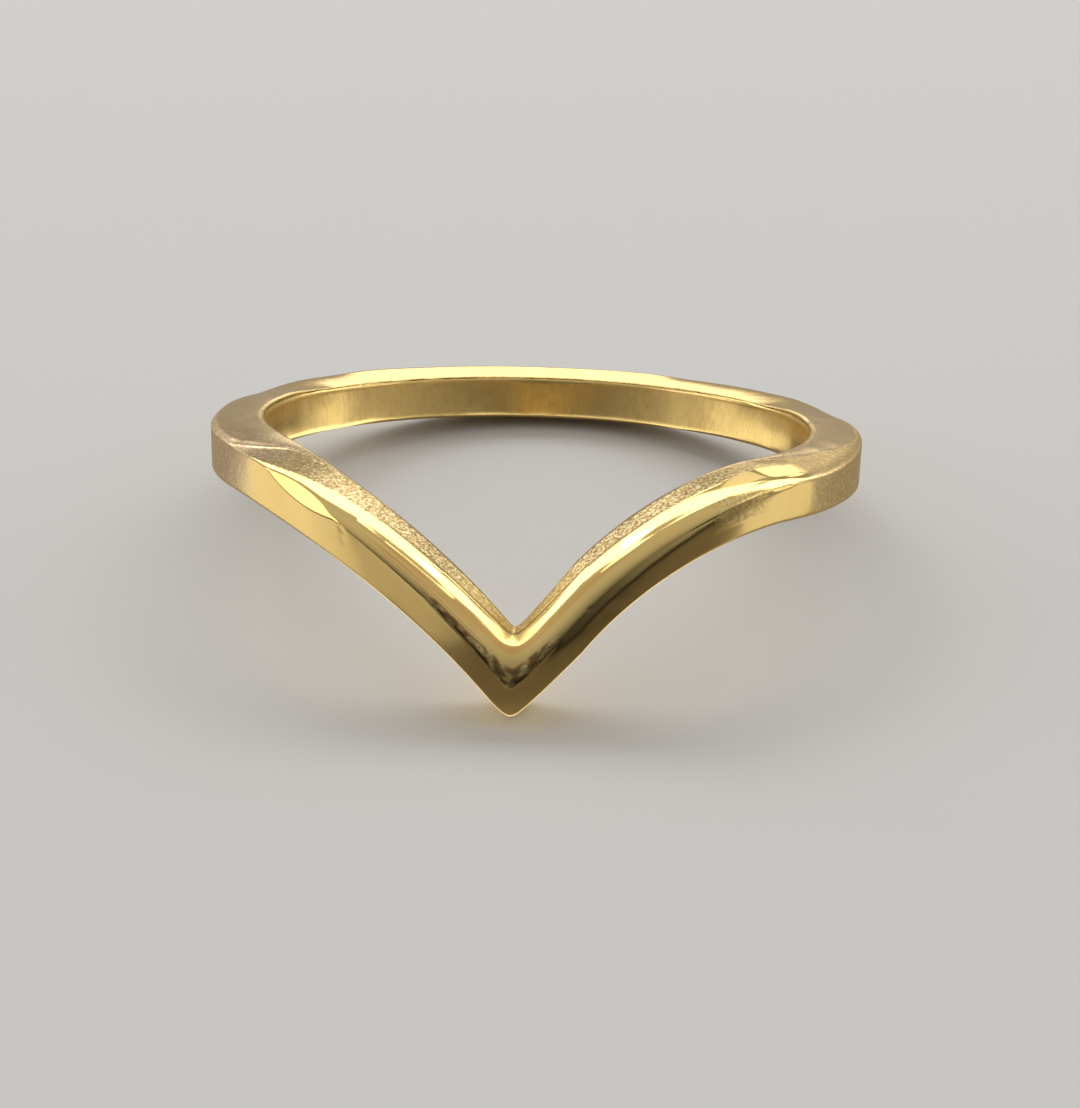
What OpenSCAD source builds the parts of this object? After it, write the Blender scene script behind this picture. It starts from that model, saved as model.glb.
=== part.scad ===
// Chevron ring: a plain gold band that dips to a point at the front.
// It is one cast piece. The shank is a flat band with a nearly square section. Each arm
// leaves it in a long bend and then runs straight down to the point. A dome grows out of
// the upper outside edge at each shoulder and rounds the arms over. The ring was bent and
// filed by hand, so its left and right arms differ a little.
// The ring lies on its side: it rests on the tip of the point and on the back of the
// shank, so the front of the shank leans up.
// X is across the finger, -Y is the front, Z is up. The origin is on the surface that
// the ring lies on, under the middle of its bounding box.

/* [Finger hole and band] */
// Diameter of the finger hole
bore_d = 17.3; // [14:0.1:21]
// Flare of the arms' inner faces below the hoop, in degrees, from the taper of the mandrel
arm_flare = 0.5; // [0.2:0.1:0.5]
// Thickness of the band, from the finger hole to the outside
wall = 1.68; // [1.4:0.02:2.4]
// Width of the band, measured across it
band_w = 1.6; // [1.3:0.05:2.2]

/* [Point and arms] */
// Drop of the band's middle line from the shank to the point
point_drop = 5.1; // [5:0.1:6]
// Slope of the straight part of each arm, in degrees from level
arm_slope = 46.5; // [40:0.5:48]
// Radius of the bend from the left arm up into the shank
bend_left = 14.5; // [8:0.5:15]
// Radius of the bend from the right arm up into the shank
bend_right = 9.5; // [8:0.5:15]
// Rounding inside the notch above the point
notch_r = 0.16; // [0.1:0.02:0.4]
// Rounding of the point itself
point_r = 0.22; // [0.14:0.02:0.4]

/* [Dome of the arms] */
// Flat left between the full dome and the bevel of the finger hole
inner_flat = 0.06; // [0.04:0.02:0.4]
// Height of the dome at the point, measured across the band
dome_height = 0.95; // [0.5:0.05:1.1]
// Angle that the dome turns through, from upright at the outside to its inner edge
dome_turn = 66; // [50:1:80]
// Angle round from the point at which the dome has its full depth
dome_full = 46; // [36:1:56]
// Angle round from the point at which the left dome starts, on the shank's outer edge
dome_left = 62; // [60:1:88]
// Angle round from the point at which the right dome starts, on the shank's outer edge
dome_right = 88; // [60:1:88]

/* [Edges] */
// Rounding of the shank's edges on the outside
edge_r = 0.16; // [0.08:0.02:0.3]
// Bevel along both edges of the finger hole
bore_bevel = 0.12; // [0.06:0.02:0.2]
// Bevel along the lower edge on the outside
low_bevel = 0.08; // [0.04:0.02:0.15]

/* [Hidden] */

bore_r = bore_d / 2;
out_r = bore_r + wall;
half_w = band_w / 2;
dome_depth = wall - bore_bevel - inner_flat;

// Sections round the ring: close together at the point, wider apart on the shank
point_step = 0.75;
arm_step = 1.5;
shank_step = 3;
point_to = 6;
arm_to = 90;
DOME_STEPS = 6;
// How far the swept section reaches into the finger hole before the hole is cut
hole_allow = 0.15;
HOLE_SIDES = 180;
// The hoop is the stretch of the finger hole that the shank closes round the finger
hoop_low = -half_w + bore_bevel;

// Each arm seen unrolled: a straight run at arm_slope, then one arc that ends level.
// Angles are 0 at the point, negative on the left arm and positive on the right.
function bend_r(angle) = angle < 0 ? bend_left : bend_right;
function straight(angle) =
    (point_drop - bend_r(angle) * (1 - cos(arm_slope))) / tan(arm_slope);
function arm_length(angle) = straight(angle) + bend_r(angle) * sin(arm_slope);

// Slope of the arm and drop of its middle line, at a distance s from the point
function slope_at(angle, s) =
    s <= straight(angle) ? arm_slope
    : s >= arm_length(angle) ? 0
    : asin((arm_length(angle) - s) / bend_r(angle));
function drop_at(angle, s) =
    s <= straight(angle) ? point_drop - s * tan(arm_slope)
    : bend_r(angle) * (1 - cos(slope_at(angle, s)));

// Distance from the point along the outside, and the same eased round a corner
function along(angle) = out_r * abs(angle) * PI / 180;
function eased(s, corner_r) = sqrt(s * s + corner_r * corner_r);

// Half the band's height at an angle: a sloping band is taller by 1/cos(slope)
function half_h(angle) = half_w / cos(slope_at(angle, along(angle)));
function top_z(angle) = half_h(angle) - drop_at(angle, eased(along(angle), notch_r));
function low_z(angle) = -half_h(angle) - drop_at(angle, eased(along(angle), point_r));

// The dome: its depth is full from dome_full on, its height grows right up to the point
function dome_from(angle) = angle < 0 ? dome_left : dome_right;
function unit(t) = min(1, max(0, t));
function ease(t) = t * t * (3 - 2 * t);
function deep(angle) = edge_r + (dome_depth - edge_r)
    * ease(unit((dome_from(angle) - abs(angle)) / (dome_from(angle) - dome_full)));
function down(angle) = edge_r + (dome_height - edge_r)
    * unit(1 - abs(angle) / dome_from(angle));

// Section at an angle as [radius, height] points: up the outside, over the dome,
// across the top to the finger hole, down inside it and back along the bottom
function section(angle) =
    let (
        top = top_z(angle),
        low = low_z(angle),
        fall = down(angle) * half_h(angle) / half_w,
        inside = bore_r - hole_allow,
        slant = bore_bevel + hole_allow
    )
    concat(
        [[out_r - low_bevel, low], [out_r, low + low_bevel]],
        [for (i = [0 : DOME_STEPS])
            let (turn = dome_turn * i / DOME_STEPS)
            [out_r - deep(angle) * (1 - cos(turn)) / (1 - cos(dome_turn)),
             top - fall * (1 - sin(turn) / sin(dome_turn))]],
        [[bore_r + bore_bevel, top], [inside, top - slant]],
        [[inside, low + slant], [bore_r + bore_bevel, low]]
    );

// Angles of the sections, from the point round to the back and on to the point again
half_turn = concat(
    [for (a = [0 : point_step : point_to - point_step]) a],
    [for (a = [point_to : arm_step : arm_to - arm_step]) a],
    [for (a = [arm_to : shank_step : 180]) a]
);
back_index = len(half_turn) - 1;
angles = concat(half_turn, [for (i = [back_index - 1 : -1 : 1]) -half_turn[i]]);
turns = len(angles);
corners = len(section(0));

function place(p, angle) = [p[0] * sin(angle), -p[0] * cos(angle), p[1]];
function corner(i, j) = (i % turns) * corners + (j % corners);

// The diagonals of the small faces are mirrored from one arm to the other
function quad(a, b, c, d, left) = left ? [[a, b, c], [a, c, d]] : [[a, b, d], [b, c, d]];

// The band swept round the finger, level, with the hole not yet cut
module swept_band() {
    points = [for (angle = angles) for (p = section(angle)) place(p, angle)];
    faces = [for (i = [0 : turns - 1]) for (j = [0 : corners - 1])
        for (face = quad(corner(i, j), corner(i + 1, j), corner(i + 1, j + 1),
                         corner(i, j + 1), i >= back_index))
            face];
    polyhedron(points = points, faces = faces, convexity = 6);
}

// Lean of the ring as it lies: the point's inner lower edge and the outer lower edge
// at the back both touch the surface
front_touch = [bore_r + bore_bevel, low_z(0)];
back_touch = [out_r - low_bevel, low_z(180)];
lean = atan((back_touch[1] - front_touch[1]) / (back_touch[0] + front_touch[0]));
rest_z = front_touch[0] * sin(lean) + front_touch[1] * cos(lean);
function lain_y(r, z) = r * cos(lean) + z * sin(lean);
front_y = lain_y(-out_r, low_z(0) + low_bevel);
back_y = max([for (p = section(180)) lain_y(p[0], p[1])]);
mid_y = (front_y + back_y) / 2;

// The finger hole is a true cylinder through the hoop. Below it only the arms are left,
// and their inner faces flare a little
module finger_hole() {
    flare_h = hoop_low - low_z(0) + wall;
    translate([0, 0, hoop_low])
    cylinder(r = bore_r, h = band_w + wall, $fn = HOLE_SIDES);
    translate([0, 0, hoop_low - flare_h])
    cylinder(r1 = bore_r + flare_h * tan(arm_flare), r2 = bore_r, h = flare_h, $fn = HOLE_SIDES);
}

module chevron_band() {
    color("#D2AF58")
    translate([0, -mid_y, -rest_z])
    rotate([-lean, 0, 0])
    difference() {
        swept_band();
        finger_hole();
    }
}

chevron_band();
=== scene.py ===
import math

import bmesh
import bpy
from mathutils import Matrix, Vector, kdtree, noise


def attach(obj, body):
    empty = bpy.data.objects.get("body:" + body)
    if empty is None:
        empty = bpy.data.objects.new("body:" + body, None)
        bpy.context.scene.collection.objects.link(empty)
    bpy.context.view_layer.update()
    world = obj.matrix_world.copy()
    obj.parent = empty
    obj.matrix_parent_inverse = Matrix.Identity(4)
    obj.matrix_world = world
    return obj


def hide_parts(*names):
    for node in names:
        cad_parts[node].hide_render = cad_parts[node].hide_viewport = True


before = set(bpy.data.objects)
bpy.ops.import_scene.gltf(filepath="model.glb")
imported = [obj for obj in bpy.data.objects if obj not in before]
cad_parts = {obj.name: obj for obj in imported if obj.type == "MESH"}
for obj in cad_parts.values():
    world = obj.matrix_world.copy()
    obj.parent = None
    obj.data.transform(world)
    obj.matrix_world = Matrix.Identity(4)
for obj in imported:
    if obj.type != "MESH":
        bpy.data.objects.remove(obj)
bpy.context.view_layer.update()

# The band
# The whole ring is one casting of yellow gold alloy. It was bent round a mandrel, its shank
# was filed flat on the sides, and its arms were filed to a dome and polished by hand.
# Sizes are in millimetres, angles in degrees round from the point, negative on the left.
HOLE_R = 8.65
WALL = 1.68
BAND_W = 1.6
OUT_R = HOLE_R + WALL
HALF_W = BAND_W / 2
# The arms bend down out of the shank and run straight to the point, the left one more gently.
# The notch above the point, the ridge and the tip below are rounded by their own radii.
POINT_DROP = 5.1
ARM_SLOPE = math.radians(46.5)
BEND_LEFT, BEND_RIGHT = 14.5, 9.5
NOTCH_R, RIDGE_R, POINT_R = 0.16, 0.48, 0.22
# The dome starts at each shoulder, is as deep as it gets from one angle on, and leaves a narrow
# flat at the finger hole. Seen from the end of the arm, its arc turns by 66 degrees.
DOME_LEFT, DOME_RIGHT, DOME_FULL = 62, 88, 46
DOME_HEIGHT, DOME_TURN = 0.95, math.radians(66)
INNER_FLAT = 0.06
# The edges are rounded: at the finger hole, low on the outside, and where the shank has no dome
HOLE_BEVEL, LOW_BEVEL, EDGE_R = 0.12, 0.08, 0.16
DOME_DEPTH = WALL - HOLE_BEVEL - INNER_FLAT
# The finger hole's upper bevel is worn to a mere corner at the back. Here and below, FROM and TO
# are angles from the point, and EASE is the angle over which a form comes and goes.
BACK_BEVEL, BACK_FROM, BACK_EASE = 0.015, 104, 20
# At the back the side face was filed a little lower towards the finger. At the shoulders it is
# worn down towards the outside, and behind the shoulders only its outer edge is worn
SIDE_DIP, DIP_FROM, DIP_EASE = 0.15, 106, 20
CROWN, CROWN_FROM, CROWN_TO, CROWN_EASE = 0.13, 64, 108, 18
LIP, LIP_FROM, LIP_LEFT, LIP_RIGHT, LIP_EASE = 0.06, 112, 130, 150, 12
# The outer wall leans in a little towards its lower edge, and on the right arm the dome's
# rounding runs on over the upper share of it
BATTER = 0.03
ROUND, ROUND_SHARE, ROUND_FROM, ROUND_TO, ROUND_EASE = 0.02, 0.4, 12, 42, 8

# The section is a closed line of eight stretches, which a place from 0 to 8 runs along:
# hole wall, upper hole bevel, side face, dome, outer wall, lower bevel, lower side, hole bevel.
# Each stretch is divided by so many cuts.
CUTS = (11, 3, 15, 47, 19, 3, 7, 3)
# Sections round the ring: at the point they lie at 0.6 of the even spacing, and wider at the back
TURNS, TURN_START = 720, 0.6

# The grainy upper facet of each arm starts at the dome's inner edge and ends at these rows of
# angle from the point and place on the section. It was filed nearly flat: 1 would be quite flat.
STRIP_LEFT = ((0, 3.25), (24, 3.29), (33, 3.35), (40, 3.48), (45, 3.64), (49, 3.8), (54, 3.98))
STRIP_RIGHT = ((0, 3.25), (24, 3.29), (38, 3.27), (46, 3.22), (60, 3.24), (76, 3.1))
STRIP_FLAT = 0.85
# Over the point the ridge is rubbed as flat, between two places on the dome
CREST_START, CREST_END, CREST_FLAT = 3.27, 3.53, 0.85
CREST_REACH, CREST_EASE = 1, 5


def unit(t):
    """t, kept between 0 and 1."""
    return min(1.0, max(0.0, t))


def ease(t):
    t = unit(t)
    return t * t * (3 - 2 * t)


def rise(x, start, over):
    """0 up to a start, easing to 1 over a distance."""
    return ease((x - start) / over)


def fade(x, low, high, soft):
    """1 between two values, easing to 0 over the soft distance outside them."""
    return ease((x - low) / soft + 1) * ease((high - x) / soft + 1)


def row_value(rows, x):
    """The value at x in a table of rows, straight between rows and level past its ends."""
    if x <= rows[0][0]:
        return rows[0][1]
    for (x0, y0), (x1, y1) in zip(rows, rows[1:]):
        if x <= x1:
            return y0 + (y1 - y0) * (x - x0) / (x1 - x0)
    return rows[-1][1]


def bend_of(angle):
    return BEND_LEFT if angle < 0 else BEND_RIGHT


def straight_of(angle):
    """Length along the band of the straight part of an arm, from the point."""
    return (POINT_DROP - bend_of(angle) * (1 - math.cos(ARM_SLOPE))) / math.tan(ARM_SLOPE)


def slope_at(angle, along):
    """Slope of the band at a length along it from the point."""
    bend, straight = bend_of(angle), straight_of(angle)
    end = straight + bend * math.sin(ARM_SLOPE)
    if along <= straight:
        return ARM_SLOPE
    return 0.0 if along >= end else math.asin((end - along) / bend)


def drop_at(angle, along):
    """Height that the band has dropped below the shank at a length along it from the point."""
    if along <= straight_of(angle):
        return POINT_DROP - along * math.tan(ARM_SLOPE)
    return bend_of(angle) * (1 - math.cos(slope_at(angle, along)))


def strip_end(angle):
    """Place on the dome where the grainy facet ends."""
    return row_value(STRIP_LEFT if angle < 0 else STRIP_RIGHT, abs(angle))


def section(angle):
    """Heights, dome sizes and filed flats of the band at an angle."""
    reach = abs(angle)
    along = OUT_R * math.radians(reach)
    half = HALF_W / math.cos(slope_at(angle, along))
    dome_from = DOME_LEFT if angle < 0 else DOME_RIGHT
    down = EDGE_R + (DOME_HEIGHT - EDGE_R) * unit(1 - reach / dome_from)
    full = ease((dome_from - reach) / (dome_from - DOME_FULL))
    crest = CREST_FLAT * fade(reach, 0, CREST_REACH, CREST_EASE)
    return {
        "top": half - drop_at(angle, math.hypot(along, NOTCH_R)),
        "ridge": half - drop_at(angle, math.hypot(along, RIDGE_R)),
        "low": -half - drop_at(angle, math.hypot(along, POINT_R)),
        "dip": SIDE_DIP * rise(reach, DIP_FROM, DIP_EASE),
        "bevel": HOLE_BEVEL + (BACK_BEVEL - HOLE_BEVEL) * rise(reach, BACK_FROM, BACK_EASE),
        "crown": CROWN * fade(reach, CROWN_FROM, CROWN_TO, CROWN_EASE),
        "lip": LIP * fade(reach, LIP_FROM, LIP_LEFT if angle < 0 else LIP_RIGHT, LIP_EASE),
        "round": ROUND * fade(angle, ROUND_FROM, ROUND_TO, ROUND_EASE),
        "deep": EDGE_R + (DOME_DEPTH - EDGE_R) * full,
        "fall": down * half / HALF_W,
        "facets": [(STRIP_FLAT, 3, strip_end(angle)), (crest, CREST_START, CREST_END)],
    }


def corner_of(t, radius):
    """Inward and downward run of a rounded edge, from its inner end at 0 to its outer at 1."""
    turn = t * math.pi / 2
    return radius * (1 - math.sin(turn)), radius * (1 - math.cos(turn))


def wall_in(shape, t):
    """Inward run of the outer wall, from its upper end at 0 to its lower end at 1."""
    return BATTER * t + shape["round"] * max(0, 1 - t / ROUND_SHARE) ** 2


def on_dome(shape, t):
    """Radius and height on the dome, from its inner end at 0 to the outer wall at 1. Over the
    point, its middle is lifted from the notch's rounding to the ridge's."""
    turn = DOME_TURN * (1 - t)
    round_in = (1 - math.cos(turn)) / (1 - math.cos(DOME_TURN))
    round_up = math.sin(turn) / math.sin(DOME_TURN)
    lift = (shape["ridge"] - shape["top"]) * ease(t / 0.5) * ease((1 - t) / 0.5)
    inward = shape["deep"] * round_in + shape["round"] * t * t
    high = shape["top"] - shape["crown"] - shape["lip"]
    return OUT_R - inward, high - shape["fall"] * (1 - round_up) + lift


def plain_place(place, shape):
    """Radius and height at a place on the section, before the file flattened it."""
    part = min(7, int(place))
    t = place - part
    top, low = shape["top"], shape["low"]
    inner_top = top - shape["dip"]
    if part == 0:
        return HOLE_R, low + HOLE_BEVEL + (inner_top - shape["bevel"] - low - HOLE_BEVEL) * t
    if part == 1:
        inward, down = corner_of(1 - t, shape["bevel"])
        return HOLE_R + down, inner_top - inward
    if part == 2:
        inner, outer = HOLE_R + shape["bevel"], OUT_R - shape["deep"]
        worn = shape["crown"] * t * t + shape["lip"] * t ** 4
        return inner + (outer - inner) * t, inner_top + shape["dip"] * t - worn
    if part == 3:
        return on_dome(shape, t)
    if part == 4:
        high = top - shape["crown"] - shape["lip"] - shape["fall"]
        return OUT_R - wall_in(shape, t), high + (low + LOW_BEVEL - high) * t
    if part == 5:
        inward, down = corner_of(1 - t, LOW_BEVEL)
        return OUT_R - BATTER - inward, low + down
    if part == 6:
        outer, inner = OUT_R - BATTER - LOW_BEVEL, HOLE_R + HOLE_BEVEL
        return outer + (inner - outer) * t, low
    inward, down = corner_of(t, HOLE_BEVEL)
    return HOLE_R + inward, low + down


def filed_place(place, shape):
    """Radius and height at a place on the section, with the facets on the dome filed nearly flat."""
    r, z = plain_place(place, shape)
    for flat, start, end in shape["facets"]:
        if flat and start < place < end:
            (r0, z0), (r1, z1) = plain_place(start, shape), plain_place(end, shape)
            share = (place - start) / (end - start)
            r += flat * (r0 + (r1 - r0) * share - r)
            z += flat * (z0 + (z1 - z0) * share - z)
    return r, z


def at_angle(r, z, angle):
    """The spot at a radius, height and angle of the ring."""
    spot = math.radians(angle)
    return Vector((r * math.sin(spot), -r * math.cos(spot), z))


# The section is first drawn for a level ring without a dome, where every place is easy to find.
# Spots closer than MERGE, in mm, become one.
MERGE = 0.001
band = bmesh.new()
place_layer = band.verts.layers.float.new("place")
angle_layer = band.verts.layers.float.new("angle")
level = {"top": HALF_W, "low": -HALF_W, "ridge": HALF_W, "dip": 0, "crown": 0, "lip": 0, "round": 0,
         "bevel": HOLE_BEVEL, "deep": EDGE_R, "fall": EDGE_R}
chain = []
for part in range(9):
    r, z = plain_place(part if part < 8 else 0, level)
    vert = band.verts.new(at_angle(r, z, 0))
    vert[place_layer] = part
    chain.append(vert)
stretches = [band.edges.new(pair) for pair in zip(chain, chain[1:])]
for edge, cuts in zip(stretches, CUTS):
    bmesh.ops.subdivide_edges(band, edges=[edge], cuts=cuts)
# A quarter of the ring is spun and then mirrored twice
bmesh.ops.spin(
    band, geom=band.verts[:] + band.edges[:], cent=(0, 0, 0), axis=(0, 0, 1),
    angle=math.pi / 2, steps=TURNS // 4,
)
for across in ("X", "Y"):
    bmesh.ops.mirror(band, geom=band.verts[:] + band.edges[:] + band.faces[:],
                     merge_dist=MERGE, axis=across)

# The level ring takes its true section at each angle
sections = {}
for vert in band.verts:
    turn = math.atan2(vert.co.x, -vert.co.y) / math.pi
    step = round(turn * TURNS / 2)
    if step not in sections:
        share = 2 * step / TURNS
        angle = 180 * share * (TURN_START + (1 - TURN_START) * share * share)
        sections[step] = (angle, section(angle))
    angle, shape = sections[step]
    vert[angle_layer] = angle
    r, z = filed_place(vert[place_layer], shape)
    vert.co = at_angle(r, z, angle)

bmesh.ops.remove_doubles(band, verts=band.verts, dist=MERGE)
bmesh.ops.recalc_face_normals(band, faces=band.faces)
band.normal_update()

# Polished flats that the file cut square across the dome at the shoulders:
# [angle, place, depth]. Their rims are rounded over the distance RIM. What lies six rims under a
# flat stays as it is, and what lies twenty above it is simply cut down.
FLATS = ((-38.5, 3.91, 0.105), (49.5, 3.42, 0.045), (47.5, 3.82, 0.055))
FLAT_REACH, RIM = 2.6, 0.012
RIMS_UNDER, RIMS_ABOVE = 6, 20
for angle, place, depth in FLATS:
    spot = at_angle(*filed_place(place, section(angle)), angle)
    normal = min(band.verts, key=lambda v: (v.co - spot).length_squared).normal.copy()
    for vert in band.verts:
        over = ((vert.co - spot).dot(normal) + depth) / RIM
        if over > -RIMS_UNDER and (vert.co - spot).length < FLAT_REACH:
            vert.co -= normal * RIM * (over if over > RIMS_ABOVE else math.log1p(math.exp(over)))
band.normal_update()

# What the tools left in the metal, as lines from one angle and place to another:
# [angle, place, angle, place, half width, depth]. A negative depth stands proud.
MARKS = (
    # The nick where the left arm's polished facet ends
    (-29.6, 4.05, -29, 4.12, 0.06, 0.006),
    (-29.4, 4.14, -29, 4.4, 0.07, 0.003),
    # The crease between the left side face and the dome, and the rim of the right one
    (-61, 3.75, -55.5, 3.4, 0.06, -0.02),
    (-55.5, 3.4, -50.5, 3.1, 0.06, -0.02),
    (-50.5, 3.1, -42, 3.05, 0.05, -0.012),
    (58, 2.72, 64, 2.85, 0.06, -0.015),
    (64, 2.85, 74, 3.02, 0.06, -0.015),
    (74, 3.02, 87, 2.95, 0.06, -0.015),
    # The fine edge that the file left along each arm, under the polished ridge
    (-5, 3.56, -10, 3.58, 0.07, -0.006),
    (-10, 3.58, -22, 3.61, 0.07, -0.011),
    (-22, 3.61, -27, 3.6, 0.07, -0.008),
    (7, 3.56, 14, 3.58, 0.07, -0.006),
    (14, 3.58, 24, 3.61, 0.07, -0.012),
    (24, 3.61, 37, 3.63, 0.07, -0.012),
    # Fine creases along the right arm's facets
    (41, 3.58, 48, 3.63, 0.06, 0.005),
    (48, 3.63, 54, 3.58, 0.06, 0.005),
    (42, 4.02, 49, 4.0, 0.05, 0.008),
)
# Pits and dents: [angle, place, half width, depth]
PITS = (
    (-60, 2.95, 0.28, 0.05),
    (-64, 2.7, 0.3, 0.04),
    (-68, 3.0, 0.2, 0.03),
    (-76, 2.35, 0.35, 0.03),
    (-90, 2.6, 0.4, 0.03),
    (-104, 2.3, 0.3, 0.025),
    (66, 2.6, 0.4, 0.012),
    (73, 2.65, 0.4, 0.016),
    (80, 2.7, 0.4, 0.012),
    (76.8, 2.5, 0.06, 0.03),
    (98, 2.3, 0.4, 0.03),
    (-7.2, 3.88, 0.1, 0.008),
    (-5.2, 3.93, 0.08, -0.006),
    (-3, 3.9, 0.1, 0.008),
    (-0.4, 3.93, 0.09, -0.013),
    (1.8, 3.9, 0.09, 0.007),
    (4.2, 3.93, 0.07, -0.005),
    (12, 3.96, 0.05, 0.012),
)
# A mark is a row of dents, this far apart in mm
MARK_STEP = 0.02
# Soft waves, as a height in mm and the waves to a mm: a swell, lower on the arms, a finer one,
# and a ripple on the shank. Upright bands on the finger side and the wander of its upper edge
# go by waves to a degree.
SWELL_ARM, SWELL_SHANK, SWELL_RATE = 0.003, 0.009, 0.6
FINE, FINE_RATE = 0.0012, 2.4
RIPPLE, RIPPLE_RATE = 0.002, 4.0
BANDS, BANDS_RATE, BANDS_END = 0.009, 0.13, 1.2
WANDER, WANDER_RATE = 0.012, 0.2
SHANK_FROM, SHANK_EASE = 48, 20

dents = []
for angle0, place0, angle1, place1, wide, deep in MARKS:
    ends = [at_angle(*filed_place(p, section(a)), a) for a, p in ((angle0, place0), (angle1, place1))]
    steps = max(2, math.ceil((ends[1] - ends[0]).length / MARK_STEP))
    for i in range(steps + 1):
        angle = angle0 + (angle1 - angle0) * i / steps
        place = place0 + (place1 - place0) * i / steps
        dents.append((at_angle(*filed_place(place, section(angle)), angle), wide, deep))
for angle, place, wide, deep in PITS:
    dents.append((at_angle(*filed_place(place, section(angle)), angle), wide, deep))
finder = kdtree.KDTree(len(dents))
for i, (spot, wide, deep) in enumerate(dents):
    finder.insert(spot, i)
finder.balance()
# A dent is next to nothing at twice its half width
WIDEST = 2 * max(wide for spot, wide, deep in dents)


def dent_at(spot):
    """Depth in mm that the marks and pits take off at a spot: the deepest, less the proudest."""
    low = high = 0.0
    for where, i, gap in finder.find_range(spot, WIDEST):
        amount = dents[i][2] * math.exp(-(gap / dents[i][1]) ** 2)
        low, high = max(low, amount), min(high, amount)
    return low + high


def wave_at(angle, place, spot):
    """Height in mm of the soft waves that bending and filing left."""
    shank = rise(abs(angle), SHANK_FROM, SHANK_EASE)
    swell = (SWELL_ARM + (SWELL_SHANK - SWELL_ARM) * shank) * noise.noise(spot * SWELL_RATE)
    fine = FINE * noise.noise(spot * FINE_RATE)
    ripple = RIPPLE * shank * noise.noise(spot * RIPPLE_RATE)
    bands = BANDS * noise.noise(Vector((angle * BANDS_RATE, 7, 0))) if place < BANDS_END else 0
    wander = WANDER * noise.noise(Vector((angle * WANDER_RATE, 3, 0))) * fade(place, 1, 2, 0.3)
    return swell + fine + ripple + bands + wander * shank


# The finish is made of six things, each a share from 0 to 1. The last two are painted light: orange
# reflections, and dark for shade and reflections
FINISH = ("matt", "grain", "upright", "blush", "orange_reflection", "painted_dark")
# Where the arms' polish ends at each shoulder and where the back begins: [angle, over how far]
SHOULDER_LEFT, SHOULDER_RIGHT, BACK = (48, 11), (53.5, 4), (100, 24)
# Zones with a finish of their own: [angle from, to, softness, place from, to, softness]
HOLE_DULL = (86, 116, 10, 0.7, 1, 0.4)
RIGHT_PATCH = (35, 42, 3.5, 3.68, 4.5, 0.14)
RUBBED_CREST = (-2, 2, 6, 3.2, 3.55, 0.1)
# Where orange reflections are painted: streaks on the left arm and a band under the ridge over the
# point
ORANGE_REFLECTION_ARM = (-20, -9, 7, 3.62, 3.84, 0.08)
ORANGE_REFLECTION_POINT = (-9, 16, 5, 3.53, 3.6, 0.05)
# The pitted patch over the point, which begins a little higher up on the dome at the point itself
PITTED_ANGLES, PITTED_PLACES, PITTED_LIFT = (-12, 5, 4), (3.84, 4.02, 0.05), 0.05


def in_zone(angle, place, zone):
    """1 inside a zone, easing to 0 round it."""
    return fade(angle, *zone[:3]) * fade(place, *zone[3:])


def mottle(angle, place, along, across, seed):
    """Noise about 0, with so many spots to a degree along the band and to a place across it."""
    return noise.noise(Vector((angle * along, place * across, seed)))


def facet_finish(angle, place, shoulder):
    """The grainy upper facet of an arm: rough near the point, with painted shade along its crease."""
    reach, end = abs(angle), strip_end(angle)
    notch = fade(reach, 0, 6, 8)
    return {
        "matt": 0.35 + 0.5 * max(shoulder, notch),
        "grain": 1 - 0.3 * notch - 0.45 * rise(reach, 34, 14),
        "blush": max(0.35 * (1 - notch), rise(reach, 42, 10) if angle < 0 else 0),
        # Painted shade: a dark line along the facet's crease near the point
        "painted_dark": 0.7 * fade(reach, 0, 22, 6) * rise(place, end - 0.07, 0.03),
    }


def outside_finish(angle, place, shoulder):
    """The polished outside of the arms, matt and scratched from the shoulders on."""
    low_face = rise(place, 4.1, 0.1)
    patch = 0.7 * in_zone(angle, place, RIGHT_PATCH)
    crest = in_zone(angle, place, RUBBED_CREST)
    start, end, soft = PITTED_PLACES
    lift = PITTED_LIFT * fade(abs(angle), 0, 3, 4)
    pitted = fade(angle, *PITTED_ANGLES) * fade(place, start - lift, end, soft)
    streaks = ease(0.5 + 1.3 * mottle(angle, place, 0.06, 30, 5))
    blotches = ease(0.65 + 2.2 * mottle(angle, place, 0.7, 12, 9))
    return {
        "matt": max(0.75 * shoulder, 0.12 * low_face, 0.5 * patch, 0.2 * pitted, 0.4 * crest),
        "grain": max(0.5 * shoulder, 0.03 * low_face, 0.55 * patch, 0.7 * pitted, 0.02),
        "upright": 0.3 * shoulder,
        "blush": (1.0 if angle < 0 else 0.35) * shoulder,
        # Painted reflections: orange streaks and an orange band
        "orange_reflection": max(0.6 * streaks * in_zone(angle, place, ORANGE_REFLECTION_ARM),
                      0.4 * in_zone(angle, place, ORANGE_REFLECTION_POINT)),
        # Painted reflections: dark blotches over the pitted patch at the point
        "painted_dark": 0.85 * pitted * blotches,
    }


def finish_at(angle, place):
    """The finish at a place on the band. What it doesn't name is 0."""
    reach = abs(angle)
    back = rise(reach, *BACK)
    shoulder = rise(reach, *(SHOULDER_LEFT if angle < 0 else SHOULDER_RIGHT)) * (1 - 0.8 * back)
    if place < 1:
        return {"matt": 0.45 + 0.3 * in_zone(reach, place, HOLE_DULL), "grain": 0.05, "upright": 0.16}
    if place < 2:
        return {"matt": 0.4 + 0.3 * back, "grain": 0.1, "upright": 0.1}
    if place < 3:
        return {"matt": 0.45 - 0.35 * back, "grain": 0.35 - 0.25 * back, "blush": 0.85 * (1 - back)}
    if place < strip_end(angle):
        return facet_finish(angle, place, shoulder)
    if place < 5:
        return outside_finish(angle, place, shoulder)
    return {"matt": 0.45, "grain": 0.2}


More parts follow.
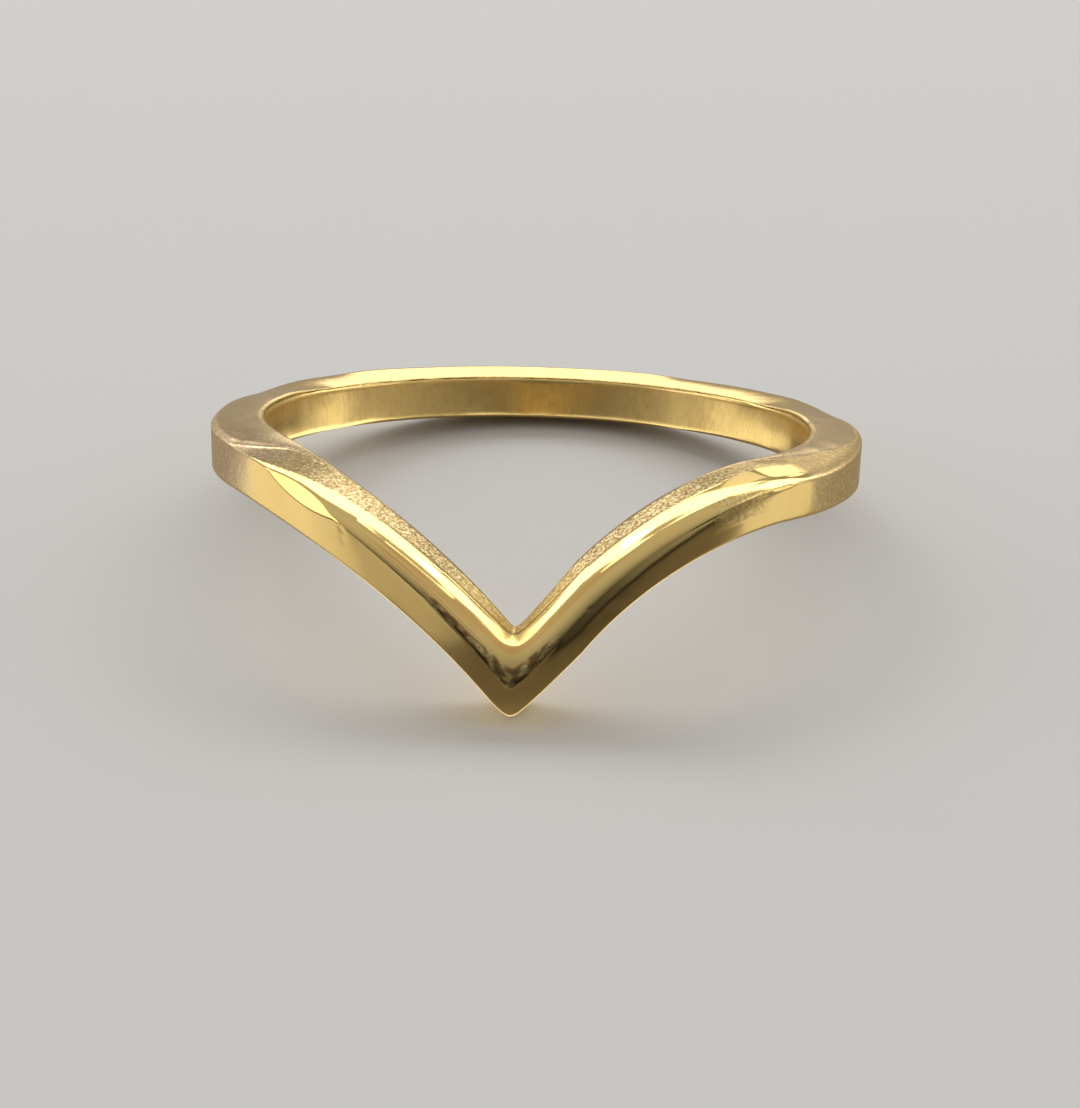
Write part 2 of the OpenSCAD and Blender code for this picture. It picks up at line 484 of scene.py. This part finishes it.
finish_layers = [(name, band.verts.layers.float.new(name)) for name in FINISH]
moves = []
for vert in band.verts:
    angle, place = vert[angle_layer], vert[place_layer]
    moves.append(vert.normal * (wave_at(angle, place, vert.co) - dent_at(vert.co)))
    finish = finish_at(angle, place)
    for name, layer in finish_layers:
        vert[layer] = finish.get(name, 0.0)
for vert, move in zip(band.verts, moves):
    vert.co += move

# The ring leans back on the tip of its point and on the back of its shank. It is set down with
# the middle of its box over the origin, and from millimetres it becomes metres.
front_touch = (HOLE_R + HOLE_BEVEL, section(0)["low"])
back_touch = (OUT_R - LOW_BEVEL, -HALF_W)
LEAN = math.atan((back_touch[1] - front_touch[1]) / (back_touch[0] + front_touch[0]))
MM = 0.001
bmesh.ops.rotate(band, verts=band.verts, cent=(0, 0, 0), matrix=Matrix.Rotation(-LEAN, 3, "X"))
ys = [v.co.y for v in band.verts]
rest = min(v.co.z for v in band.verts)
bmesh.ops.translate(band, verts=band.verts, vec=(0, -(min(ys) + max(ys)) / 2, -rest))
bmesh.ops.scale(band, verts=band.verts, vec=(MM, MM, MM))

mesh = bpy.data.meshes.new("chevron_band_skin")
band.to_mesh(mesh)
band.free()
mesh.shade_smooth()
ring = bpy.data.objects.new("chevron_band_skin", mesh)
bpy.context.scene.collection.objects.link(ring)


def srgb(code):
    """The linear colour of an sRGB hex value."""
    parts = [int(code[i:i + 2], 16) / 255 for i in (1, 3, 5)]
    return [p / 12.92 if p <= 0.04045 else ((p + 0.055) / 1.055) ** 2.4 for p in parts] + [1]


def add_node(tree, kind, values=(), links=(), stops=(), **settings):
    """A node with its settings, the values of its sockets, the links into them and, where it is
    a colour ramp, the places and colours of its stops. A new ramp has two stops already."""
    node = tree.nodes.new(kind)
    for name, value in settings.items():
        setattr(node, name, value)
    for name, value in dict(values).items():
        node.inputs[name].default_value = value
    for name, source in dict(links).items():
        tree.links.new(source, node.inputs[name])
    for i, (where, colour) in enumerate(stops):
        stop = node.color_ramp.elements[i] if i < 2 else node.color_ramp.elements.new(where)
        stop.position, stop.color = where, colour
    return node


# Cast yellow gold, filed and then polished by hand: a warm mirror on the arms, and a soft
# brown-gold sheen where the file, the grit and wear left the metal rough. Sizes are in mm.
# Painted into its colour are shade in the grit's hollows and along a crease, pale glints on the grit,
# and orange and dark reflections on the arms.
GRIT, SCRATCHES, CLOUDS, BUMP = 0.1, 0.12, 1.5, 0.012
gold = bpy.data.materials.new("cast_yellow_gold")
gold.use_nodes = True
tree = gold.node_tree
tree.nodes.clear()
spot = add_node(tree, "ShaderNodeTexCoord").outputs["Object"]
matt, grain, upright, blush, orange_reflection, painted_dark = (
    add_node(tree, "ShaderNodeAttribute", attribute_name=name).outputs["Fac"] for name in FINISH
)
# Grit of the filed facets: real grains are 0.03 mm across, drawn at 0.1 mm so that they show
grit = add_node(tree, "ShaderNodeTexNoise", {
    "Scale": 1 / (GRIT * MM), "Detail": 4.0, "Roughness": 0.65,
}, {"Vector": spot}).outputs["Fac"]
# Upright scratches 0.12 mm apart and about five times as long
stretched = add_node(tree, "ShaderNodeMapping", {"Scale": (1, 1, 0.2)}, {"Vector": spot})
scratch = add_node(tree, "ShaderNodeTexNoise", {"Scale": 1 / (SCRATCHES * MM), "Detail": 2.0},
                   {"Vector": stretched.outputs["Vector"]}).outputs["Fac"]
# Clouds of colour 1.5 mm across, from the alloy and from wear
cloud = add_node(tree, "ShaderNodeTexNoise", {"Scale": 1 / (CLOUDS * MM), "Detail": 3.0},
                 {"Vector": spot}).outputs["Fac"]
grit_height = add_node(tree, "ShaderNodeMath", links={0: grit, 1: grain}, operation="MULTIPLY")
scratch_height = add_node(tree, "ShaderNodeMath", links={0: scratch, 1: upright}, operation="MULTIPLY")
height = add_node(tree, "ShaderNodeMath", operation="ADD",
                  links={0: grit_height.outputs[0], 1: scratch_height.outputs[0]})
bump = add_node(tree, "ShaderNodeBump", {"Strength": 1.0, "Distance": BUMP * MM},
                {"Height": height.outputs[0]})
worn = add_node(tree, "ShaderNodeMix", {"A": srgb("#F9DA8E"), "B": srgb("#EFCB7C")},
                {"Factor": cloud}, data_type="RGBA")
tint = add_node(tree, "ShaderNodeMix", {"B": srgb("#EDD0A8")},
                {"Factor": blush, "A": worn.outputs[2]}, data_type="RGBA")
# Painted reflections: the orange streaks and band
with_orange_reflection = add_node(tree, "ShaderNodeMix", {"B": srgb("#DE9C52")},
                  {"Factor": orange_reflection, "A": tint.outputs[2]}, data_type="RGBA")
# Painted glints: the grit's highest grains are painted bright and pale
raised = add_node(tree, "ShaderNodeMapRange", {"From Min": 0.5, "From Max": 0.62, "To Max": 0.8},
                  {"Value": grit})
painted_glint = add_node(tree, "ShaderNodeMath", operation="MULTIPLY",
                  links={0: raised.outputs["Result"], 1: grain})
with_painted_glints = add_node(tree, "ShaderNodeMix", {"B": srgb("#FFF3C2")},
                   {"Factor": painted_glint.outputs[0], "A": with_orange_reflection.outputs[2]}, data_type="RGBA")
# Painted shade darkens the hollows of the grit and the scratches and a crease, and painted dark
# reflections blotch the pitted patch over the point
hollow_shades = []
for pattern, share in ((grit, grain), (scratch, upright)):
    deep = add_node(tree, "ShaderNodeMapRange", {"From Min": 0.56, "From Max": 0.36, "To Max": 0.75},
                    {"Value": pattern})
    hollow_shades.append(add_node(tree, "ShaderNodeMath", operation="MULTIPLY",
                            links={0: deep.outputs["Result"], 1: share}).outputs[0])
hollow_shade = add_node(tree, "ShaderNodeMath", links={0: hollow_shades[0], 1: hollow_shades[1]}, operation="MAXIMUM")
painted_dark_share = add_node(tree, "ShaderNodeMath", links={0: hollow_shade.outputs[0], 1: painted_dark}, operation="MAXIMUM")
with_painted_dark = add_node(tree, "ShaderNodeMix", {"B": srgb("#7E5C34")},
                 {"Factor": painted_dark_share.outputs[0], "A": with_painted_glints.outputs[2]}, data_type="RGBA")
rough = add_node(tree, "ShaderNodeMapRange", {"To Min": 0.09, "To Max": 0.42}, {"Value": matt})
# The tint keeps the metal yellow where it is seen at a flat slant
shader = add_node(tree, "ShaderNodeBsdfPrincipled", {
    "Metallic": 1.0, "Specular Tint": srgb("#FEF5E0"),
}, {
    "Base Color": with_painted_dark.outputs[2],
    "Roughness": rough.outputs["Result"],
    "Normal": bump.outputs["Normal"],
})
add_node(tree, "ShaderNodeOutputMaterial", links={"Surface": shader.outputs["BSDF"]})
mesh.materials.append(gold)

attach(ring, "root")
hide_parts("chevron_band")

# The floor
# A plain sheet of pale card, 3 m across. The ring lies on it by its own weight, and the card
# isn't part of the ring.
FLOOR_HALF = 1.5
floor_mesh = bpy.data.meshes.new("floor")
sheet = bmesh.new()
bmesh.ops.create_grid(sheet, x_segments=1, y_segments=1, size=FLOOR_HALF)
sheet.to_mesh(floor_mesh)
sheet.free()
floor = bpy.data.objects.new("floor", floor_mesh)
bpy.context.scene.collection.objects.link(floor)
card = bpy.data.materials.new("pale_card")
card.use_nodes = True
tree = card.node_tree
tree.nodes.clear()
shader = add_node(tree, "ShaderNodeBsdfPrincipled", {
    "Base Color": srgb("#D2D0CC"), "Roughness": 0.9, "Specular IOR Level": 0.2,
})
# Polished metal mirrors the card as grey beside the ring and dark in front of it, as if a dark board
# lay there: these tones are a painted reflection, which only rays that the metal mirrors see. That
# gives the arms their deep brown undersides. The tones run from one distance in front of the ring, in
# mm, to another.
REFLECTION_FROM, REFLECTION_TO = 10, 110
REFLECTION_TONES = ((0.0, "#A8A5A0"), (0.09, "#736C65"), (0.28, "#6C665F"), (0.42, "#1C1917"))
spot = add_node(tree, "ShaderNodeTexCoord").outputs["Object"]
ahead = add_node(tree, "ShaderNodeSeparateXYZ", links={0: spot}).outputs["Y"]
front = add_node(tree, "ShaderNodeMapRange", {
    "From Min": -REFLECTION_FROM * MM, "From Max": -REFLECTION_TO * MM,
}, {"Value": ahead})
painted_reflection = add_node(tree, "ShaderNodeValToRGB", links={"Fac": front.outputs["Result"]},
                stops=[(where, srgb(tone)) for where, tone in REFLECTION_TONES])
dark = add_node(tree, "ShaderNodeBsdfDiffuse", links={"Color": painted_reflection.outputs["Color"]})
mirrored = add_node(tree, "ShaderNodeLightPath").outputs["Is Glossy Ray"]
seen = add_node(tree, "ShaderNodeMixShader",
                links={0: mirrored, 1: shader.outputs["BSDF"], 2: dark.outputs["BSDF"]})
add_node(tree, "ShaderNodeOutputMaterial", links={"Surface": seen.outputs["Shader"]})
floor_mesh.materials.append(card)

# The light
# Soft boxes stand in an arch behind the ring and at its sides, with small low ones behind.
# They are white, and belong to the stage as the floor does.
RING_CENTRE = (0, 0, 0.003)


def soft_box(name, place, width, height, bright, aim=RING_CENTRE):
    """A lit rectangle that faces its aim, with bright as the brightness of its face."""
    lamp = bpy.data.lights.new(name, "AREA")
    lamp.shape = "RECTANGLE"
    lamp.size, lamp.size_y = width, height
    lamp.energy = bright * math.pi * width * height
    box = bpy.data.objects.new(name, lamp)
    box.location = place
    box.rotation_euler = (Vector(aim) - Vector(place)).to_track_quat("-Z", "Y").to_euler()
    box.visible_camera = False
    bpy.context.scene.collection.objects.link(box)


for name, place, width, height, bright in (
    ("box_high", (0.0, 0.31, 0.43), 0.7, 0.19, 2.3),
    ("box_back_left", (-0.37, 0.27, 0.3), 0.16, 0.5, 2.3),
    ("box_back_right", (0.385, 0.306, 0.26), 0.15, 0.42, 2.3),
    ("box_left", (-0.466, -0.108, 0.146), 0.34, 0.29, 1.15),
    ("box_side", (0.456, 0.032, 0.13), 0.33, 0.25, 0.6),
    ("box_mid", (0.059, 0.385, 0.25), 0.1, 0.18, 0.6),
    ("box_spot", (0.086, 0.405, 0.092), 0.07, 0.055, 1.4),
    ("box_low", (-0.02, 0.4, 0.053), 0.1, 0.098, 1.5),
):
    soft_box(name, place, width, height, bright)
# Bright cards lie just above the floor and face up: two at the left, one at the right, two
# inside the ring and one under the arms
CARD_Z = 0.0003
for name, x, y, width, depth, bright in (
    ("card_left", -0.0308, -0.0105, 0.0285, 0.023, 0.6),
    ("card_front", -0.029, -0.037, 0.034, 0.028, 0.4),
    ("card_right", 0.0278, -0.006, 0.0165, 0.013, 0.5),
    ("card_inside", 0.0011, 0.0068, 0.0066, 0.0018, 1.1),
    ("card_inside_left", -0.0047, 0.0056, 0.0046, 0.0012, 2.0),
    ("card_under", 0.0, -0.008, 0.018, 0.006, 1.0),
):
    soft_box(name, (x, y, CARD_Z), width, depth, bright, aim=(x, y, 1))

# The room is dark low down in front, where the camera stands, and grows lighter from there.
# Its brightness goes by how nearly a direction points to the front, from 0 straight behind the
# ring to 1 straight ahead. Heights count more than they are, by ROOM_STEEP.
ROOM_FRONT = (-0.052, -0.999, 0)
ROOM_STEEP = 2.5
ROOM_TONES = ((0.0, 0.3), (0.5, 0.56), (0.63, 0.48), (0.75, 0.32), (0.82, 0.24), (0.883, 0.18),
              (0.91, 0.13), (0.945, 0.075), (0.97, 0.055), (1.0, 0.04))
world = bpy.data.worlds.new("room")
bpy.context.scene.world = world
world.use_nodes = True
tree = world.node_tree
ray = add_node(tree, "ShaderNodeTexCoord").outputs["Generated"]
steep = add_node(tree, "ShaderNodeVectorMath", {1: (1, 1, ROOM_STEEP)}, {0: ray},
                 operation="MULTIPLY")
way = add_node(tree, "ShaderNodeVectorMath", links={0: steep.outputs["Vector"]},
               operation="NORMALIZE")
ahead = add_node(tree, "ShaderNodeVectorMath", {1: ROOM_FRONT}, {0: way.outputs["Vector"]},
                 operation="DOT_PRODUCT")
share = add_node(tree, "ShaderNodeMapRange", {"From Min": -1.0, "From Max": 1.0},
                 {"Value": ahead.outputs["Value"]})
shade = add_node(tree, "ShaderNodeValToRGB", links={"Fac": share.outputs["Result"]},
                 stops=[(where, (bright, bright, bright, 1)) for where, bright in ROOM_TONES])
tree.links.new(shade.outputs["Color"], tree.nodes["Background"].inputs["Color"])

# The camera
# It looks down on the front of the ring, from the place worked out from the photograph. The
# ring was fitted in its own frame, so its turn and the place of its middle come in too. The
# picture's longer side and the lens are in pixels, the rest is in mm.
SIDE_PX, LENS_PX, SENSOR = 1108, 2400, 36.0
DISTANCE, ELEVATION, ROLL = 78.858, math.radians(28.845), math.radians(-0.8915)
AIM = Vector((0.1674, 0, -0.6246))
RING_YAW, RING_MIDDLE = math.radians(-3.092), Vector((0, 0.70198, 0))
turn = Matrix.Rotation(-RING_YAW, 3, "Z")
towards = Vector((0, -math.cos(ELEVATION), math.sin(ELEVATION)))
right = Vector((1, 0, 0))
up = towards.cross(right)
side = math.cos(ROLL) * right - math.sin(ROLL) * up
head = math.sin(ROLL) * right + math.cos(ROLL) * up
eye = turn @ (AIM + towards * DISTANCE) + RING_MIDDLE
axes = Matrix((turn @ side, turn @ head, turn @ towards)).transposed()
lens = bpy.data.cameras.new("camera")
lens.sensor_width = SENSOR
lens.lens = LENS_PX / SIDE_PX * SENSOR
lens.clip_start, lens.clip_end = 2 * MM, 10
camera = bpy.data.objects.new("camera", lens)
camera.matrix_world = Matrix.Translation(eye * MM) @ axes.to_4x4()
bpy.context.scene.collection.objects.link(camera)
bpy.context.scene.camera = camera
bpy.context.scene.view_settings.view_transform = "Standard"
